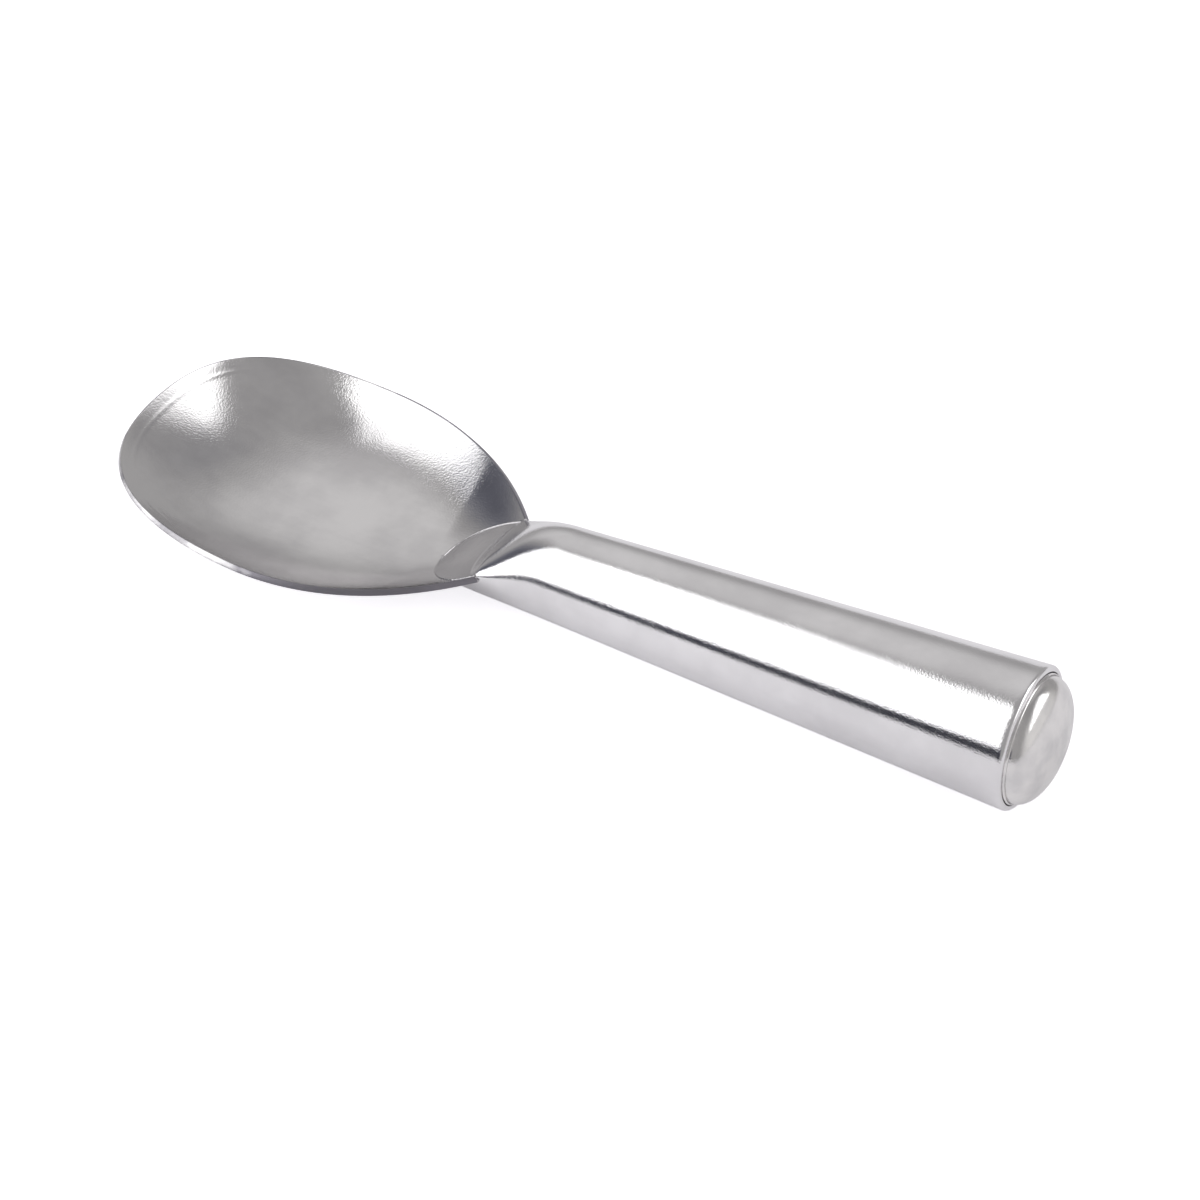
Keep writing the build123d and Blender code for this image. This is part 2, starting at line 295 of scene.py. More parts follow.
BLADE_FINISH = Metal(
    "blade_satin", light=(0.80, 0.79, 0.795), dark=(0.65, 0.64, 0.65), roughness=(0.08, 0.12),
    mottle_size=22 * MM,
)
# painted shade: the cut edge darkens from x = -68 mm and stays dark from -50 mm to the neck, a painted dark
# reflection; its mottled tone is its own
EDGE_FINISH = Metal(
    "cut_edge", light=(0.76, 0.75, 0.76), dark=(0.25, 0.24, 0.27), roughness=(0.28, 0.42),
    grain_depth=0.03 * MM, mottle_size=9 * MM, wear_and_painted_shade=(-68 * MM, -50 * MM, 0.9),
)
PLATE_FINISH = Metal(
    "plate_satin", light=(0.70, 0.69, 0.70), dark=(0.61, 0.60, 0.615), roughness=(0.16, 0.22),
    grain_depth=0.008 * MM, mottle_size=9 * MM,
)
WELD_FINISH = Metal(
    "weld_bead", light=(0.68, 0.67, 0.68), dark=(0.56, 0.55, 0.57), roughness=(0.2, 0.3),
    grain_depth=0.008 * MM, mottle_size=8 * MM,
)
HANDLE_FINISH = Metal(
    "handle_polish", light=(0.83, 0.82, 0.835), dark=(0.74, 0.73, 0.745), roughness=(0.07, 0.11),
)
CAP_FINISH = Metal(
    "cap_satin", light=(0.78, 0.765, 0.76), dark=(0.64, 0.63, 0.635), roughness=(0.12, 0.20),
    streak_size=(1.2 * MM, 9 * MM, 9 * MM), mottle_size=6 * MM,
)
FLUID_FINISH = Solid(
    "fluid_tinted", light=(0.55, 0.66, 0.72), dark=(0.40, 0.52, 0.60), roughness=(0.04, 0.08),
    cloud_size=12 * MM, grain_size=3 * MM, grain_depth=0.01 * MM,
)
PLUG_FINISH = Solid(
    "plug_moulded", light=(0.82, 0.80, 0.74), dark=(0.74, 0.72, 0.66), roughness=(0.45, 0.6),
    cloud_size=5 * MM, grain_size=0.3 * MM, grain_depth=0.02 * MM,
)
RING_FINISH = Solid(
    "ring_moulded", light=(0.05, 0.05, 0.055), dark=(0.03, 0.03, 0.03), roughness=(0.55, 0.75),
    cloud_size=2 * MM, grain_size=0.2 * MM, grain_depth=0.01 * MM,
)


# ---- mesh helpers ----

SHARP_ANGLE = math.radians(35)
SAME_PLACE = 0.0005 * MM


def new_object(name: str, data: bpy.types.ID) -> bpy.types.Object:
    """Put a new object with this data into the scene and return it."""
    made = bpy.data.objects.new(name, data)
    bpy.context.scene.collection.objects.link(made)
    return made


def clean(mesh: bpy.types.Mesh, merge: bool = False) -> None:
    """Turn a mesh's faces outward, smooth it and mark its sharp edges.

    Args:
        mesh: The mesh.
        merge: Whether to merge the points of its poles first.
    """
    work = bmesh.new()
    work.from_mesh(mesh)
    if merge:
        bmesh.ops.remove_doubles(work, verts=work.verts, dist=SAME_PLACE)
        bmesh.ops.dissolve_degenerate(work, edges=work.edges, dist=SAME_PLACE)
    bmesh.ops.recalc_face_normals(work, faces=work.faces)
    work.to_mesh(mesh)
    work.free()
    mesh.shade_smooth()
    mesh.set_sharp_from_angle(angle=SHARP_ANGLE)


def grid_faces(rows: int, columns: int, first: int = 0, closed: bool = False, flip: bool = False) -> list:
    """Quads of a grid of vertices.

    Args:
        rows: Rows of vertices.
        columns: Vertices in each row.
        first: Number of the first vertex.
        closed: Whether each row's last vertex joins its first.
        flip: Whether to turn the faces over.

    Returns:
        Tuples of vertex numbers.
    """
    faces = []
    for row in range(rows - 1):
        for column in range(columns if closed else columns - 1):
            a = first + row * columns + column
            b = first + row * columns + (column + 1) % columns
            quad = (a, b, b + columns, a + columns)
            faces.append(quad[::-1] if flip else quad)
    return faces


def slab_faces(rows: int, columns: int) -> list:
    """Quads of a slab: a grid, a second one turned over, and the four borders that join them.

    Args:
        rows: Rows of vertices in each grid.
        columns: Vertices in each row.

    Returns:
        Tuples of vertex numbers.
    """
    count = rows * columns
    faces = grid_faces(rows, columns) + grid_faces(rows, columns, count, flip=True)
    for border in (range(0, count, columns), range(columns - 1, count, columns), range(columns),
                   range(count - columns, count)):
        faces += [(a, b, b + count, a + count) for a, b in zip(border, border[1:])]
    return faces


def make_piece(name: str, points: np.ndarray, faces: list, materials: list,
               which: list | None = None) -> bpy.types.Object:
    """Make a closed, smooth object from points and faces, merging the points of its poles.

    Args:
        name: Name of the piece.
        points: Places of the vertices.
        faces: Tuples of vertex numbers.
        materials: Materials of the piece.
        which: Number of each face's material, or None for the first.

    Returns:
        The new object.
    """
    mesh = bpy.data.meshes.new(name)
    mesh.from_pydata(points.reshape(-1, 3).tolist(), [], faces)
    for material in materials:
        mesh.materials.append(material)
    if which is not None:
        mesh.polygons.foreach_set("material_index", which)
    clean(mesh, merge=True)
    return new_object(name, mesh)


def ripple(points: np.ndarray, lengths: tuple, seed: int) -> np.ndarray:
    """Smooth unevenness of hand finished metal at each point, from -1 to 1.

    Args:
        points: Places, with x, y and z in the last axis.
        lengths: Wave lengths along x, y and z.
        seed: Seed of the waves' phases.

    Returns:
        One value for each point.
    """
    rng = np.random.default_rng(seed)
    total = np.zeros(points.shape[:-1])
    waves = 6
    for _ in range(waves):
        wave = rng.uniform(-1, 1, 3) * 2 * math.pi / np.array(lengths)
        total += np.sin(points @ wave + rng.uniform(0, 2 * math.pi))
    return total / waves


def own(piece: bpy.types.Object, slot: Slot, *nodes: str) -> None:
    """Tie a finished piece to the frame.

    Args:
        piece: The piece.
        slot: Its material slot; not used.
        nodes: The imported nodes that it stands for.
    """
    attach(piece, "root")
    if nodes:
        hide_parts(*nodes)
    log.info("%s: %d faces", piece.name, len(piece.data.polygons))


# ---- geometry node trees ----


class NodePiece:
    """A mesh that a Geometry Nodes tree makes from a line of points."""

    def __init__(self, name: str, inputs: dict[str, tuple]) -> None:
        """Start a tree with its named inputs.

        Args:
            name: Name of the tree.
            inputs: Socket type and value of each input, by name.
        """
        self.group = bpy.data.node_groups.new(name, "GeometryNodeTree")
        self.values = inputs
        side = self.group.interface
        side.new_socket("Geometry", in_out="INPUT", socket_type="NodeSocketGeometry")
        for label, (kind, _) in inputs.items():
            side.new_socket(label, in_out="INPUT", socket_type=kind)
        side.new_socket("Geometry", in_out="OUTPUT", socket_type="NodeSocketGeometry")
        self.tree = Tree(self.group)
        self.given = self.tree.add("NodeGroupInput").outputs

    def end(self, geometry: Socket) -> None:
        """Close the tree: merge the points, smooth the faces and set the material.

        Args:
            geometry: The shape that the tree made.
        """
        real = self.tree.add("GeometryNodeRealizeInstances", {"Geometry": geometry}).outputs[0]
        merging = {"Geometry": real, "Distance": 2 * SAME_PLACE}
        merged = self.tree.add("GeometryNodeMergeByDistance", merging).outputs[0]
        smooth = self.tree.add("GeometryNodeSetShadeSmooth", {"Geometry": merged}).outputs[0]
        dress = {"Geometry": smooth, "Material": self.given["Material"]}
        done = self.tree.add("GeometryNodeSetMaterial", dress)
        self.tree.add("NodeGroupOutput", {"Geometry": done.outputs[0]})

    def run(self, name: str, line: list[Vector], place: Matrix) -> bpy.types.Object:
        """Run the tree on a line of points and keep the result as a plain mesh.

        Args:
            name: Name of the piece.
            line: The points of the line.
            place: Where the result goes.

        Returns:
            The finished object, at the origin, with its place in its mesh.
        """
        mesh = bpy.data.meshes.new(f"{name}_line")
        mesh.from_pydata(line, [(i, i + 1) for i in range(len(line) - 1)], [])
        carrier = new_object(f"{name}_line", mesh)
        modifier = carrier.modifiers.new(self.group.name, "NODES")
        modifier.node_group = self.group
        for item in self.group.interface.items_tree:
            if item.in_out == "INPUT" and item.name in self.values:
                modifier[item.identifier] = self.values[item.name][1]
        shown = carrier.evaluated_get(bpy.context.evaluated_depsgraph_get())
        made = bpy.data.meshes.new_from_object(shown)
        carrier.modifiers.clear()
        bpy.data.objects.remove(carrier)
        made.name = name
        made.transform(place)
        clean(made)
        return new_object(name, made)


def turned_tree(sides: int, steps: int, dents: float, dent_size: float,
                material: bpy.types.Material) -> NodePiece:
    """Tree that turns a profile about Z; the line's X is the radius.

    Args:
        sides: Sides of the turned piece.
        steps: Places along the profile.
        dents: Depth of the shallow unevenness of the surface.
        dent_size: Distance from one dent to the next.
        material: Its material.

    Returns:
        The finished tree.
    """
    piece = NodePiece("turned_profile", {
        "Sides": ("NodeSocketInt", sides),
        "Steps": ("NodeSocketInt", steps),
        "Dent Depth": ("NodeSocketFloat", dents),
        "Material": ("NodeSocketMaterial", material),
    })
    tree, given = piece.tree, piece.given
    curve = tree.add("GeometryNodeMeshToCurve", {"Mesh": given["Geometry"]}).outputs[0]
    grid = tree.add("GeometryNodeMeshGrid", {
        "Size X": 1.0,
        "Size Y": 1.0,
        "Vertices X": given["Steps"],
        "Vertices Y": given["Sides"],
    }).outputs["Mesh"]
    place = tree.add("ShaderNodeSeparateXYZ", {0: tree.add("GeometryNodeInputPosition").outputs[0]}).outputs
    share = tree.math("ADD", place[0], 0.5, clamp=True)
    angle = tree.math("MULTIPLY", tree.math("ADD", place[1], 0.5), 2 * math.pi)
    sample = tree.add("GeometryNodeSampleCurve", {"Curves": curve, "Factor": share},
                      mode="FACTOR", use_all_curves=True)
    profile = tree.add("ShaderNodeSeparateXYZ", {0: sample.outputs["Position"]}).outputs
    turned = tree.add("ShaderNodeCombineXYZ", {
        0: tree.math("MULTIPLY", profile[0], tree.math("COSINE", angle)),
        1: tree.math("MULTIPLY", profile[0], tree.math("SINE", angle)),
        2: profile[2],
    }).outputs[0]
    moved = tree.add("GeometryNodeSetPosition", {"Geometry": grid, "Position": turned}).outputs[0]
    here = tree.add("GeometryNodeInputPosition").outputs[0]
    dent = tree.math("MULTIPLY", tree.noise(here, 1 / dent_size, 1), given["Dent Depth"])
    normal = tree.add("GeometryNodeInputNormal").outputs[0]
    offset = tree.add("ShaderNodeVectorMath", {0: normal, "Scale": dent}, operation="SCALE").outputs[0]
    uneven = tree.add("GeometryNodeSetPosition", {"Geometry": moved, "Offset": offset}).outputs[0]
    piece.end(uneven)
    return piece


BEAD_SIDES = 14
BEAD_END_POWER = 14  # how close to its ends the bead swells
BEAD_WAVE_RATE = 230  # turns of the ripple along the whole bead, in radians
BEAD_WAVE_SHARE = 0.07
BEAD_DRIFT_SIZE = 2 * MM
BEAD_DRIFT_SHARE = 0.35
BEAD_LEAST_SHARE = 0.75


def bead_tree(radius: float, swell: float, count: int, material: bpy.types.Material) -> NodePiece:
    """Tree that lays a rippled weld bead along a line.

    Args:
        radius: Radius of the bead.
        swell: How much wider it is at its ends, as a share of the radius.
        count: Places along the bead.
        material: Its material.

    Returns:
        The finished tree.
    """
    piece = NodePiece("weld_bead", {
        "Bead Radius": ("NodeSocketFloat", radius),
        "End Swell": ("NodeSocketFloat", swell),
        "Count": ("NodeSocketInt", count),
        "Material": ("NodeSocketMaterial", material),
    })
    tree, given = piece.tree, piece.given
    curve = tree.add("GeometryNodeMeshToCurve", {"Mesh": given["Geometry"]}).outputs[0]
    even = tree.add("GeometryNodeResampleCurve", {"Curve": curve, "Count": given["Count"]}).outputs[0]
    along = tree.add("GeometryNodeSplineParameter").outputs["Factor"]
    edge = tree.math("ABSOLUTE", tree.math("SUBTRACT", tree.math("MULTIPLY", along, 2), 1))
    swollen = tree.math("MULTIPLY", tree.math("POWER", edge, BEAD_END_POWER), given["End Swell"])
    wave = tree.math("SINE", tree.math("MULTIPLY", along, BEAD_WAVE_RATE))
    waves = tree.math("MULTIPLY", wave, BEAD_WAVE_SHARE)
    here = tree.add("GeometryNodeInputPosition").outputs[0]
    drift = tree.math("MULTIPLY", tree.noise(here, 1 / BEAD_DRIFT_SIZE, 2), BEAD_DRIFT_SHARE)
    width = tree.math("ADD", tree.math("ADD", BEAD_LEAST_SHARE, drift), tree.math("ADD", waves, swollen))
    round_ = {"Resolution": BEAD_SIDES, "Radius": given["Bead Radius"]}
    ring = tree.add("GeometryNodeCurvePrimitiveCircle", round_)
    inputs = {"Curve": even, "Profile Curve": ring.outputs["Curve"], "Fill Caps": True, "Scale": width}
    piece.end(tree.add("GeometryNodeCurveToMesh", inputs).outputs[0])
    return piece


# ---- blade ----


@dataclass
class Blade:
    """Pressed blade with an egg shaped rim that narrows to two corners at the neck.

    A place on it is given by its row along the outline, from tip to neck, and its share across, from -1 to 1.
    """

    length: float = 82.4 * MM
    half_width: float = 30.1 * MM
    sheet: float = 1.3 * MM
    tip_sheet: float = 0.8 * MM
    drawn_share: float = 0.4
    widest_from_tip: float = 38.7 * MM
    tip_fullness: float = 0.577
    tip_shoulder: float = 0.812
    neck_shoulder: float = 0.569
    neck_handle: float = 0.137
    neck_flare: float = math.radians(46)
    tip_rim: float = 14.0 * MM
    neck_rim: float = 9.8 * MM
    rim_sag: float = 2.0 * MM
    floor_start: float = 0.45
    heel_length: float = 17.0 * MM
    heel_rise: float = 5.6 * MM
    heel_curve: float = 1.5
    wall_roundness: float = 0.50
    neck_roundness: float = 1 / 3
    neck_half_width: float = 9.2 * MM
    edge_round: float = 0.12 * MM
    rim_land: float = 2.3 * MM
    rim_land_drop: float = 0.10 * MM
    groove_width: float = 0.40 * MM
    groove_depth: float = 0.035 * MM
    unevenness: float = 0.035 * MM
    wave_lengths: tuple = (34 * MM, 30 * MM, 40 * MM)
    rows: int = 120
    columns: int = 150

    def __post_init__(self) -> None:
        """Take the seam's place from the frame."""
        self.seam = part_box("bowl")[1].x
        self.tip = self.seam - self.length

    def outline(self) -> np.ndarray:
        """Plan of the rim.

        Returns:
            Distance from the tip and half width at each row, tip to neck.
        """
        run = self.length - self.widest_from_tip
        reach = self.neck_handle * run
        widest = np.array([self.widest_from_tip, self.half_width])
        neck = np.array([self.length, self.neck_half_width])
        flare = neck + reach * np.array([-math.cos(self.neck_flare), math.sin(self.neck_flare)])
        front = [(0, 0), (0, self.tip_fullness * self.half_width),
                 (self.widest_from_tip * (1 - self.tip_shoulder), self.half_width), widest]
        back = [widest, widest + (self.neck_shoulder * run, 0), flare, neck]
        steps = np.linspace(0, 1, self.rows)[:, None]
        spans = []
        for points in (front, back):
            a, b, c, d = (np.array(point, float) for point in points)
            rest = 1 - steps
            spans.append(rest**3 * a + 3 * rest**2 * steps * b + 3 * rest * steps**2 * c + steps**3 * d)
        return np.vstack([spans[0], spans[1][1:]])

    def rim_height(self, along: np.ndarray) -> np.ndarray:
        """Top of the rim at distances from the tip."""
        share = along / self.length
        return self.tip_rim + (self.neck_rim - self.tip_rim) * share - self.rim_sag * 4 * share * (1 - share)

    def keel(self, along: np.ndarray) -> np.ndarray:
        """Height of the inside along the middle line.

        Args:
            along: Distances from the tip.

        Returns:
            The height at each distance.
        """
        ramp = np.clip(1 - along / (self.floor_start * self.length), 0, None)
        heel = np.clip(1 - (self.length - along) / self.heel_length, 0, None)
        return self.sheet + (self.tip_rim - self.sheet) * ramp**2 + self.heel_rise * heel**self.heel_curve

    def inside(self, outline: np.ndarray, across: np.ndarray) -> np.ndarray:
        """Places on the inside.

        Args:
            outline: Rows of the outline.
            across: Shares across.

        Returns:
            A place for each row and share.
        """
        along, half = outline[:, :1], outline[:, 1:]
        bottom, rim = self.keel(along), self.rim_height(along)
        # 0 up to the middle of the length, and 1 from five sixths of it
        blend = np.clip(3 * along / self.length - 1.5, 0, 1)
        round_ = self.wall_roundness + (self.neck_roundness - self.wall_roundness) * blend
        side = half * across / 4 * (3 + across**2 + 3 * round_ * (1 - across**2))
        height = bottom + (rim - bottom) * across**2
        return np.stack([np.broadcast_to(self.tip + along, side.shape), side, height], -1)

    def normals(self, places: np.ndarray) -> np.ndarray:
        """Upward normals of the inside.

        Args:
            places: Places on the inside, by row and column.

        Returns:
            The unit normal at each place.
        """
        normal = np.cross(np.gradient(places, axis=0), np.gradient(places, axis=1))
        slope = 2 * (self.tip_rim - self.sheet) / (self.floor_start * self.length)
        normal[0] = (slope, 0, 1)
        normal *= np.sign(normal[..., 2:])
        return normal / np.linalg.norm(normal, axis=-1, keepdims=True)

    def relief(self, places: np.ndarray, outline: np.ndarray) -> np.ndarray:
        """Slow waves of the sheet, and the land along its rim with a fine groove at its foot.

        Args:
            places: Places on the inside.
            outline: Rows of the outline.

        Returns:
            How far the inside stands out at each place.
        """
        rim = np.vstack([outline, outline * (1, -1)]) + (self.tip, 0)
        nearest = []
        # taken in 60 parts, to keep the table of distances small
        for part in np.array_split(places[..., :2].reshape(-1, 2), 60):
            gaps = part[:, None] - rim[None]
            nearest.append(np.hypot(gaps[..., 0], gaps[..., 1]).min(1))
        gap = np.concatenate(nearest).reshape(places.shape[:-1])
        land = self.rim_land_drop * np.clip(1 - gap / self.rim_land, 0, 1)
        groove = self.groove_depth * np.exp(-((gap - self.rim_land) / self.groove_width)**2)
        # the land and the groove are full at the tip's end and faint at the neck
        fade = np.clip(1.4 - 2 * outline[:, :1] / self.length, 0.15, 1)
        calm = np.clip(gap / (4 * self.rim_land), 0, 1)
        waves = ripple(places, self.wave_lengths, seed=4) * calm * self.unevenness
        return waves - (groove + land) * fade

    def build(self) -> None:
        """Make the blade's sheet with its inside, outside, rounded cut edge and end."""
        outline = self.outline()
        even = np.linspace(-1, 1, self.columns)
        places = self.inside(outline, (even + np.sin(even * math.pi / 2))[None] / 2)
        normal = self.normals(places)
        top = places + normal * self.relief(places, outline)[..., None]
        share = np.clip(outline[:, :1] / (self.drawn_share * self.length), 0, 1)
        thickness = self.tip_sheet + (self.sheet - self.tip_sheet) * share
        bottom = places - normal * thickness[..., None]
        for surface in (top, bottom):
            surface[..., 2] = np.maximum(surface[..., 2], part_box("bowl")[0].z)

        rows, columns = top.shape[:2]
        under = rows * columns
        edge_first = 2 * under
        points = [top.reshape(-1, 3), bottom.reshape(-1, 3)]
        faces = grid_faces(rows, columns) + grid_faces(rows, columns, under, flip=True)
        plain = len(faces)
        rims = [self._rim_loop(surface) for surface in (top, bottom)]
        edge = self._edge_rows(*rims)
        points.append(edge.reshape(-1, 3))
        faces += grid_faces(*edge.shape[:2], edge_first)
        cut = len(faces) - plain
        end = [(i, i + 1, i + 1 + under, i + under) for i in range(under - columns, under - 1)]
        faces += end
        rim_faces = [int(face % (columns - 1) in (0, columns - 2)) for face in range(plain)]
        which = rim_faces + [1] * cut + [0] * len(end)
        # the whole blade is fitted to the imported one's box, since its tip and sides stand out a little
        low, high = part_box("bowl")
        every = np.vstack(points)
        ahead = every[:, 0] - self.seam
        every[:, 0] = self.seam + ahead * (low.x - self.seam) / ahead.min()
        every[:, 1] *= high.y / every[:, 1].max()
        blade = make_piece("blade", every, faces, [BLADE_FINISH.build(), EDGE_FINISH.build()], which)
        own(blade, Slot.BLADE, "bowl")

    @staticmethod
    def _rim_loop(surface: np.ndarray) -> np.ndarray:
        """The rim of one side, from one neck corner round the tip to the other."""
        return np.vstack([surface[::-1, 0], surface[1:, -1]])

    def _edge_rows(self, upper: np.ndarray, lower: np.ndarray) -> np.ndarray:
        """Rows of the cut edge, with both its arrises rounded.

        Args:
            upper: The inside rim.
            lower: The outside rim.

        Returns:
            Rows of places from the inside rim to the outside rim.
        """
        along = np.gradient(upper, axis=0)
        along /= np.linalg.norm(along, axis=1, keepdims=True)
        depth = lower - upper
        thick = np.linalg.norm(depth, axis=1, keepdims=True)
        outward = np.cross(along, depth / thick)
        outward *= np.sign((outward[:, 1:2] * upper[:, 1:2]).mean())
        rows = [upper]
        for rim, way, turns in ((upper, 1, (30, 60, 90)), (lower, -1, (90, 60, 30))):
            for turn in np.radians(turns):
                inward = depth / thick * self.edge_round * (1 - math.cos(turn))
                rows.append(rim + way * inward + outward * self.edge_round * math.sin(turn))
        rows.append(lower)
        return np.stack(rows)


# ---- neck plate ----


@dataclass
class NeckPlate:
    """Flat plate that slopes from the neck corners to the blade's floor, with its weld bead."""

    blade: Blade
    reach: float = 14.4 * MM
    thickness: float = 0.9 * MM
    dish: float = 0.10 * MM
    lap: float = 0.25 * MM
    bead_radius: float = 0.20 * MM
    bead_places: int = 220
    end_swell: float = 2.2
    rows: int = 60
    columns: int = 50

    def slope(self) -> float:
        """Fall of the plate for each metre ahead of the seam."""
        return (self.blade.neck_rim - self.blade.sheet) / self.reach

    def half_widths(self, ahead: np.ndarray) -> np.ndarray:
        """Half width at which the plate meets the blade.

        Args:
            ahead: Distances ahead of the seam.

        Returns:
            The half width at each distance.
        """
        blade = self.blade
        outline = blade.outline()
        along = blade.length - ahead
        half = np.interp(along, outline[:, 0], outline[:, 1])
        bottom, rim = blade.keel(along), blade.rim_height(along)
        share = np.sqrt(np.clip((blade.neck_rim - ahead * self.slope() - bottom) / (rim - bottom), 0, 1))
        line = np.stack([along, half], 1)
        return np.array([blade.inside(line[i:i + 1], np.array([[s]]))[0, 0, 1] for i, s in enumerate(share)])

    def build(self) -> None:
        """Make the plate and the bead round its lower edge."""
        ahead = self.reach * np.sin(np.linspace(0, math.pi / 2, self.rows))
        half = self.half_widths(ahead)
        across = np.linspace(-1, 1, self.columns)[None]
        side = (half + self.lap * (half > 0))[:, None] * across
        drop = self.dish * (1 - across**2) * np.sin(math.pi * ahead / self.reach)[:, None]
        height = self.blade.neck_rim - ahead[:, None] * self.slope() - drop
        x = np.broadcast_to(self.blade.seam - ahead[:, None], side.shape)
        top = np.stack([x, side, height], -1)
        bottom = top - (0, 0, self.thickness)
        points = np.vstack([top.reshape(-1, 3), bottom.reshape(-1, 3)])
        plate = make_piece("neck_plate_facet", points, slab_faces(*top.shape[:2]), [PLATE_FINISH.build()])
        own(plate, Slot.PLATE, "neck_plate")

        right = [Vector((self.blade.seam - a, h, self.blade.neck_rim - a * self.slope()))
                 for a, h in zip(ahead, half)]
        line = right + [Vector((p.x, -p.y, p.z)) for p in right[-2::-1]]
        tree = bead_tree(self.bead_radius, self.end_swell, self.bead_places, WELD_FINISH.build())
        bead = tree.run("neck_weld_bead", line, Matrix.Identity(4))
        own(bead, Slot.WELD, "neck_weld")


# ---- handle ----


@dataclass
class Handle:
    """Tapered tube with a rolled butt, a neck that bends down to a nose, and its turned cap."""

    blade: Blade
    length: float = 112.7 * MM
    butt_radius: float = 14.0 * MM
    taper: float = 0.0444
    wall: float = 1.2 * MM
    bend: float = 15.7 * MM
    seam_half: float = 9.5 * MM
    seam_crown: float = 2.0 * MM
    nose_reach: float = 3.9 * MM
    bend_ease: float = 2.15
    nose_fall: float = 0.375
    nose_bed: float = 0.5 * MM
    belly_reach: float = 13.5 * MM
    belly_rise: float = 0.7 * MM
    belly_rows: int = 70
    belly_columns: int = 81
    lip_outer: float = 0.85 * MM
    lip_inner: float = 0.2 * MM
    bore_depth: float = 10.0 * MM
    cap_height: float = 5.76 * MM
    cap_gap: float = 0.17 * MM
    cap_rim: float = 0.40 * MM
    cap_rim_rise: float = 0.35 * MM
    cap_valley: float = 0.3 * MM
    cap_fullness: float = 0.94
    cap_edge: float = 0.5 * MM
    cap_skirt: float = 6 * MM
    cap_sides: int = 160
    cap_steps: int = 150
    cap_dents: float = 0.04 * MM
    cap_dent_size: float = 7 * MM
    unevenness: float = 0.02 * MM
    wave_lengths: tuple = (60 * MM, 22 * MM, 22 * MM)
    calm_ends: float = 12 * MM
    around: int = 192
    straight_steps: int = 120
    neck_steps: int = 40
    nose_steps: int = 24

    def __post_init__(self) -> None:
        """Work out the tube's axis, which falls by its own taper so that the tube lies flat."""
        self.tilt = math.asin(self.taper)
        self.butt = np.array([self.blade.seam + self.length, 0, self.butt_radius * math.cos(self.tilt)])
        self.axis = np.array([-math.cos(self.tilt), 0, -math.sin(self.tilt)])
        self.seam_distance = self.length / math.cos(self.tilt)
        self.angles = np.linspace(0, 2 * math.pi, self.around, endpoint=False)

    def radius(self, distance: float) -> float:
        """Outside radius of the straight tube at a distance from the butt."""
        return self.butt_radius - self.taper * distance

    @staticmethod
    def upright(lean: float) -> np.ndarray:
        """Up direction of a section that leans back by an angle."""
        return np.array([-math.sin(lean), 0, math.cos(lean)])

    def ring(self, centre: np.ndarray, lean: float, half: float, crown: float, belly: float,
             spread: float = 1.0) -> np.ndarray:
        """One closed section, flatter above its centre than below.

        Args:
            centre: Middle of the section's widest line.
            lean: Angle by which the section leans back from upright.
            half: Half of its width.
            crown: Its height above the centre.
            belly: Its depth below the centre.
            spread: 1 for a round crown, and more for one that runs out flat at its sides.

        Returns:
            The section's places.
        """
        up = self.upright(lean)
        rise = np.sin(self.angles)
        height = np.where(rise > 0, crown * np.abs(rise)**spread, belly * rise)
        side = half * np.cos(self.angles)
        return centre + side[:, None] * (0, 1, 0) + height[:, None] * up

    def straight_ring(self, distance: float, inset: float) -> np.ndarray:
        """Round section of the straight stretch, set in from the outside."""
        size = self.radius(distance) - inset
        return self.ring(self.butt + self.axis * distance, self.tilt, size, size, size)

    def lip_rings(self) -> list[np.ndarray]:
        """Sections of the butt.

        Returns:
            The sections from the bottom of the bore over the rolled lip to the outside.
        """
        rings = [self.straight_ring(self.bore_depth, self.radius(self.bore_depth))]
        rings += [self.straight_ring(d, self.wall) for d in (self.bore_depth, self.lip_inner)]
        for turn in np.radians([30, 60, 90]):
            inset = self.wall - self.lip_inner * (1 - math.cos(turn))
            rings.append(self.straight_ring(self.lip_inner * (1 - math.sin(turn)), inset))
        for turn in np.radians([0, 18, 36, 54, 72, 90]):
            inset = self.lip_outer * (1 - math.sin(turn))
            rings.append(self.straight_ring(self.lip_outer * (1 - math.cos(turn)), inset))
        return rings

    def neck_rings(self) -> list[np.ndarray]:
        """Sections of the bending neck.

        Returns:
            The sections from the straight tube to the seam, where they stand upright.
        """
        start = self.seam_distance - self.bend
        seam_rise = self.blade.neck_rim - (self.butt + self.axis * self.seam_distance)[2]
        rings = []
        for share in np.linspace(0, 1, self.neck_steps + 1)[1:]:
            distance = start + share * self.bend
            lean = self.tilt * (1 - share)
            centre = self.butt + self.axis * distance
            eased = share**self.bend_ease
            half = self.radius(distance) + (self.seam_half - self.radius(self.seam_distance)) * eased
            crown = self.radius(start) + (self.seam_crown - self.radius(start)) * eased
            spring = seam_rise * eased
            depth = centre[2] / math.cos(lean) + spring
            rings.append(self.ring(centre + self.upright(lean) * spring, lean, half, crown, depth))
        return rings

    def nose_rings(self, slope: float) -> list[np.ndarray]:
        """Sections of the rounded nose that lies on the neck plate.

        Args:
            slope: Fall of the neck plate for each metre.

        Returns:
            The sections, from the seam to the nose's tip.
        """
        rings = []
        for turn in np.linspace(0, math.pi / 2, self.nose_steps + 1):
            ahead = self.nose_reach * math.sin(turn)
            size = math.cos(turn)
            centre = np.array([self.blade.seam - ahead, 0, self.blade.neck_rim - slope * ahead])
            crown = (self.seam_crown - self.nose_fall * ahead) * size**3
            half, bed = self.seam_half * size, self.nose_bed * size
            rings.append(self.ring(centre, 0, half, crown, bed, 1 + math.sin(turn)))
        return rings

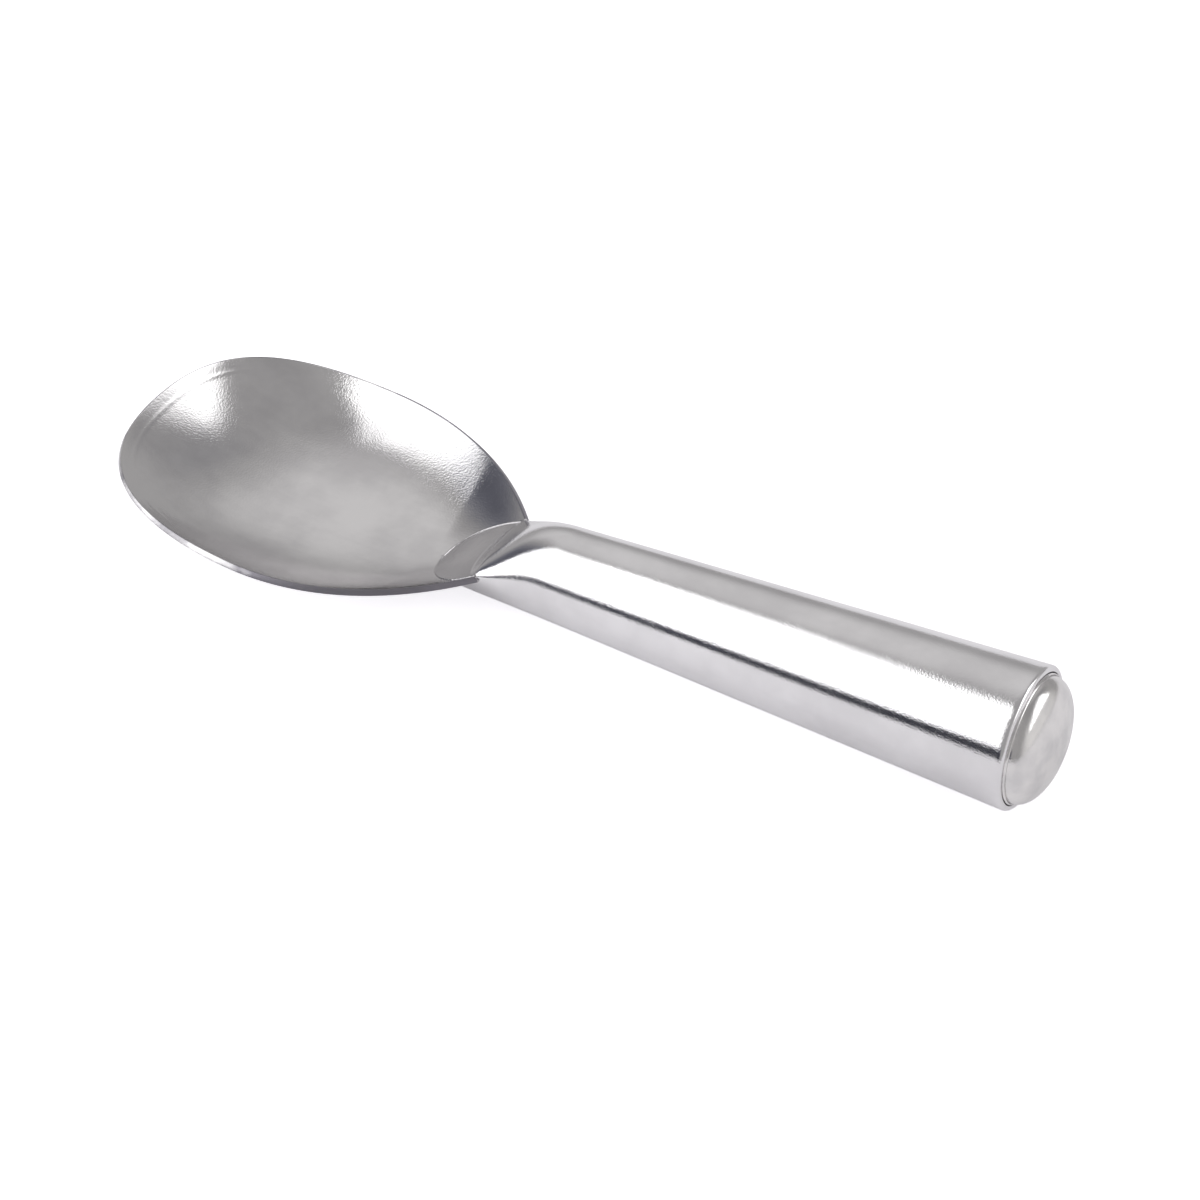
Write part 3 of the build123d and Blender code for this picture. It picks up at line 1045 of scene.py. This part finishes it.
    def build(self, slope: float) -> None:
        """Make the tube, the belly that runs on under the blade's heel, and the cap.

        Args:
            slope: Fall of the neck plate for each metre.
        """
        start = self.seam_distance - self.bend
        rings = self.lip_rings()
        straight = np.linspace(self.lip_outer, start, self.straight_steps)
        rings += [self.straight_ring(distance, 0) for distance in straight[1:]]
        rings += self.neck_rings() + self.nose_rings(slope)
        points = np.stack(rings)
        out = points - points.mean(1, keepdims=True)
        out /= np.maximum(np.linalg.norm(out, axis=-1, keepdims=True), 1e-9)
        x, seam = points[..., :1], self.blade.seam
        calm = np.clip((seam + self.length - x) / self.calm_ends, 0, 1)
        calm = calm * np.clip((x - seam - 1 * MM) / self.calm_ends, 0, 1)
        waves = ripple(points, self.wave_lengths, seed=11)[..., None] - 1
        points = points + out * waves * calm * self.unevenness
        finish = HANDLE_FINISH.build()
        tube = make_piece("handle_tube_shell", points, grid_faces(*points.shape[:2], closed=True), [finish])
        own(tube, Slot.HANDLE, "handle_tube")
        own(self._belly(finish), Slot.HANDLE)
        own(self._cap(), Slot.CAP, "end_cap")

    def _belly(self, finish: bpy.types.Material) -> bpy.types.Object:
        """Make the tube's lower half, which runs on under the heel and sinks into the blade's sheet.

        Args:
            finish: The tube's material.

        Returns:
            The belly.
        """
        blade = self.blade
        outline = blade.outline()
        turn = np.linspace(0, math.pi, self.belly_columns)
        lower, upper = [], []
        for ahead in np.linspace(0, self.belly_reach, self.belly_rows):
            along = np.array([blade.length - ahead])
            half = np.interp(along, outline[:, 0], outline[:, 1])
            line = np.stack([along, half], 1)
            across = np.linspace(-1, 1, 301)[None]
            inside = blade.inside(line, across)[0]
            side = self.seam_half * np.cos(turn)
            sheet = np.interp(side, inside[:, 1], inside[:, 2]) - 0.5 * blade.sheet
            rise = self.belly_rise * (ahead / self.belly_reach)**2
            depth = blade.neck_rim * (1 - np.sin(turn)) + rise
            x = np.full(self.belly_columns, blade.seam - ahead)
            lower.append(np.stack([x, side, np.minimum(depth, sheet)], 1))
            upper.append(np.stack([x, side, sheet], 1))
        points = np.stack([np.stack(lower), np.stack(upper)])
        return make_piece("handle_belly", points, slab_faces(self.belly_rows, self.belly_columns), [finish])

    def _cap(self) -> bpy.types.Object:
        """Make the shallow dome with its rolled edge and skirt, turned from one profile.

        Returns:
            The cap.
        """
        edge = self.radius(0) - self.wall - self.cap_gap
        foot = edge - self.cap_rim
        rise = self.cap_height - self.cap_valley
        profile = [Vector((0, 0, self.cap_height))]
        for turn in np.radians(np.linspace(88, 4, 60)):
            out, up = math.cos(turn)**self.cap_fullness, math.sin(turn)**self.cap_fullness
            profile.append(Vector((foot * out, 0, self.cap_valley + rise * up)))
        for turn in np.radians(np.linspace(165, 0, 18)):
            out = foot + self.cap_rim / 2 * (1 + math.cos(turn))
            profile.append(Vector((out, 0, self.cap_rim_rise * math.sin(turn))))
        profile += [
            Vector((edge, 0, -0.1 * MM)),
            Vector((edge, 0, -self.cap_edge)),
            Vector((edge, 0, -self.cap_skirt)),
            Vector((0, 0, -self.cap_skirt)),
        ]
        finish = CAP_FINISH.build()
        tree = turned_tree(self.cap_sides, self.cap_steps, self.cap_dents, self.cap_dent_size, finish)
        facing = Vector((-self.axis).tolist()).to_track_quat("Z", "Y").to_matrix().to_4x4()
        return tree.run("end_cap_dome", profile, Matrix.Translation(self.butt.tolist()) @ facing)


# ---- inner pieces ----


def dress_inner_nodes() -> None:
    """Give the sealed pieces inside the handle their finishes; their shapes stay as packed."""
    finishes = {"thermal_fluid": FLUID_FINISH, "bore_plug": PLUG_FINISH, "plug_o_ring": RING_FINISH}
    for node, finish in finishes.items():
        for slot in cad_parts[node].material_slots:
            slot.material = finish.build()
        log.info("%s: dressed", node)


# ---- studio ----


def towards(azimuth: float, elevation: float) -> Vector:
    """Direction of an azimuth, turned from +Y to +X, and an elevation, both in degrees."""
    turn, rise = math.radians(azimuth), math.radians(elevation)
    return Vector((math.sin(turn) * math.cos(rise), math.cos(turn) * math.cos(rise), math.sin(rise)))


@dataclass(frozen=True)
class SoftBox:
    """Rectangular soft light, with its middle as seen from the aim and its angles in degrees."""

    name: str
    middle: tuple
    azimuth: float
    elevation: float
    size: tuple
    roll: float
    radiance: float

    def build(self, aim: Vector) -> None:
        """Make the light, facing the object.

        Args:
            aim: Middle of the object.
        """
        turn = math.radians(self.azimuth)
        away = towards(self.azimuth, self.elevation)
        right = Vector((math.cos(turn), -math.sin(turn), 0))
        right.rotate(Quaternion(away, -math.radians(self.roll)))
        data = bpy.data.lights.new(self.name, "AREA")
        data.shape = "RECTANGLE"
        data.size, data.size_y = self.size
        data.energy = self.radiance * math.pi * data.size * data.size_y
        light = new_object(self.name, data)
        axes = Matrix((-right, away.cross(-right), away)).transposed()
        light.matrix_world = Matrix.Translation(aim + Vector(self.middle)) @ axes.to_4x4()
        light.visible_camera = False


@dataclass(frozen=True)
class Lobe:
    """Brighter or darker part of the tent, full inside one angle and gone outside another, in degrees."""

    azimuth: float
    elevation: float
    inner: float
    outer: float
    change: float


@dataclass
class Studio:
    """Pale table, a soft tent, two soft boxes and the camera."""

    tent: float = 0.40
    lobes: tuple = (
        Lobe(azimuth=-46, elevation=42, inner=5, outer=38, change=0.27),
        Lobe(azimuth=-87, elevation=34, inner=1, outer=30, change=-0.27),
        Lobe(azimuth=-160, elevation=3, inner=6, outer=18, change=-0.34),
        Lobe(azimuth=5, elevation=50, inner=4, outer=20, change=-0.07),
        Lobe(azimuth=80, elevation=15, inner=15, outer=58, change=0.42),
        Lobe(azimuth=0, elevation=88, inner=5, outer=30, change=-0.02),
    )
    boxes: tuple = (
        SoftBox("soft_box_left", middle=(-0.485, -0.333, 0.809), azimuth=-113, elevation=-5,
                size=(1.50, 0.82), roll=73.5, radiance=1.45),
        SoftBox("soft_box_right", middle=(1.18, 0.75, 2.07), azimuth=55.6, elevation=-15,
                size=(1.74, 3.05), roll=18, radiance=1.5),
    )
    table_half: float = 3.0
    table_front: float = 0.45
    table_glow: float = 0.12
    table_seen_glow: float = 0.55
    aim: Vector = Vector((0.01540, -0.01877, 0.02627))
    azimuth: float = math.radians(30.29)
    elevation: float = math.radians(42.27)
    distance: float = 0.6
    lens: float = 98.05
    sensor: float = 36.0

    def build(self) -> None:
        """Make the whole studio."""
        self._camera()
        self._floor()
        self._tent()
        for box in self.boxes:
            box.build(self.aim)
        bpy.context.scene.view_settings.view_transform = "Standard"

    def _camera(self) -> None:
        """Camera that looks down at the spade from beside its handle."""
        data = bpy.data.cameras.new("camera")
        data.lens, data.sensor_width = self.lens, self.sensor
        camera = new_object("camera", data)
        flat = math.cos(self.elevation)
        side, front = math.sin(self.azimuth) * flat, -math.cos(self.azimuth) * flat
        back = Vector((side, front, math.sin(self.elevation)))
        camera.location = self.aim + back * self.distance
        camera.rotation_mode = "QUATERNION"
        camera.rotation_quaternion = (-back).to_track_quat("-Z", "Y")
        bpy.context.scene.camera = camera

    def _floor(self) -> None:
        """Pale table that glows a little, and more to the camera than to the reflections."""
        half, front = self.table_half, self.table_front
        level = CAD_BOX[0].z
        mesh = bpy.data.meshes.new("floor")
        corners = [(-half, -front, level), (half, -front, level), (half, half, level), (-half, half, level)]
        mesh.from_pydata(corners, [], [(0, 1, 2, 3)])
        material, tree = new_material("pale_table")
        grain = tree.noise(tree.add("ShaderNodeTexCoord").outputs["Object"], 300)
        seen = tree.add("ShaderNodeLightPath").outputs["Is Camera Ray"]
        shader = tree.add("ShaderNodeBsdfPrincipled", {
            "Base Color": tree.tint(grain, (0.86, 0.855, 0.875), (0.88, 0.875, 0.89)),
            "Roughness": 0.7,
            "Emission Color": (0.985, 0.975, 1.0, 1),
            "Emission Strength": tree.math("MULTIPLY_ADD", seen, self.table_seen_glow, self.table_glow),
        })
        tree.add("ShaderNodeOutputMaterial", {"Surface": shader.outputs[0]})
        mesh.materials.append(material)
        new_object("floor", mesh)

    def _tent(self) -> None:
        """Soft grey tent for the reflections, and a white backdrop behind the table."""
        world = bpy.data.worlds.new("tent")
        world.use_nodes = True
        bpy.context.scene.world = world
        tree = Tree(world.node_tree)
        ray = tree.add("ShaderNodeTexCoord").outputs["Generated"]
        level = self.tent
        for lobe in self.lobes:
            inputs = {0: ray, 1: towards(lobe.azimuth, lobe.elevation)}
            near = tree.add("ShaderNodeVectorMath", inputs, operation="DOT_PRODUCT").outputs["Value"]
            outer, inner = math.cos(math.radians(lobe.outer)), math.cos(math.radians(lobe.inner))
            level = tree.math("ADD", level, tree.spread(near, outer, inner, 0, lobe.change))
        seen = tree.add("ShaderNodeLightPath").outputs["Is Camera Ray"]
        shade = tree.tint(tree.spread(level, 0.05, 0.40, 0, 1), (0.78, 0.80, 1.0), (1.0, 0.985, 0.98))
        tent = tree.add("ShaderNodeBackground", {"Color": shade, "Strength": level})
        back = tree.add("ShaderNodeBackground", {"Color": (1, 1, 1, 1), "Strength": 1.0})
        both = tree.add("ShaderNodeMixShader", {0: seen, 1: tent.outputs[0], 2: back.outputs[0]})
        tree.add("ShaderNodeOutputWorld", {"Surface": both.outputs[0]})


def main() -> None:
    """Build the studio and every piece in order."""
    logging.basicConfig(level=logging.INFO, format="%(name)s: %(message)s")
    Studio().build()
    blade = Blade()
    blade.build()
    plate = NeckPlate(blade)
    plate.build()
    Handle(blade).build(plate.slope())
    dress_inner_nodes()


if __name__ == "__main__":
    main()
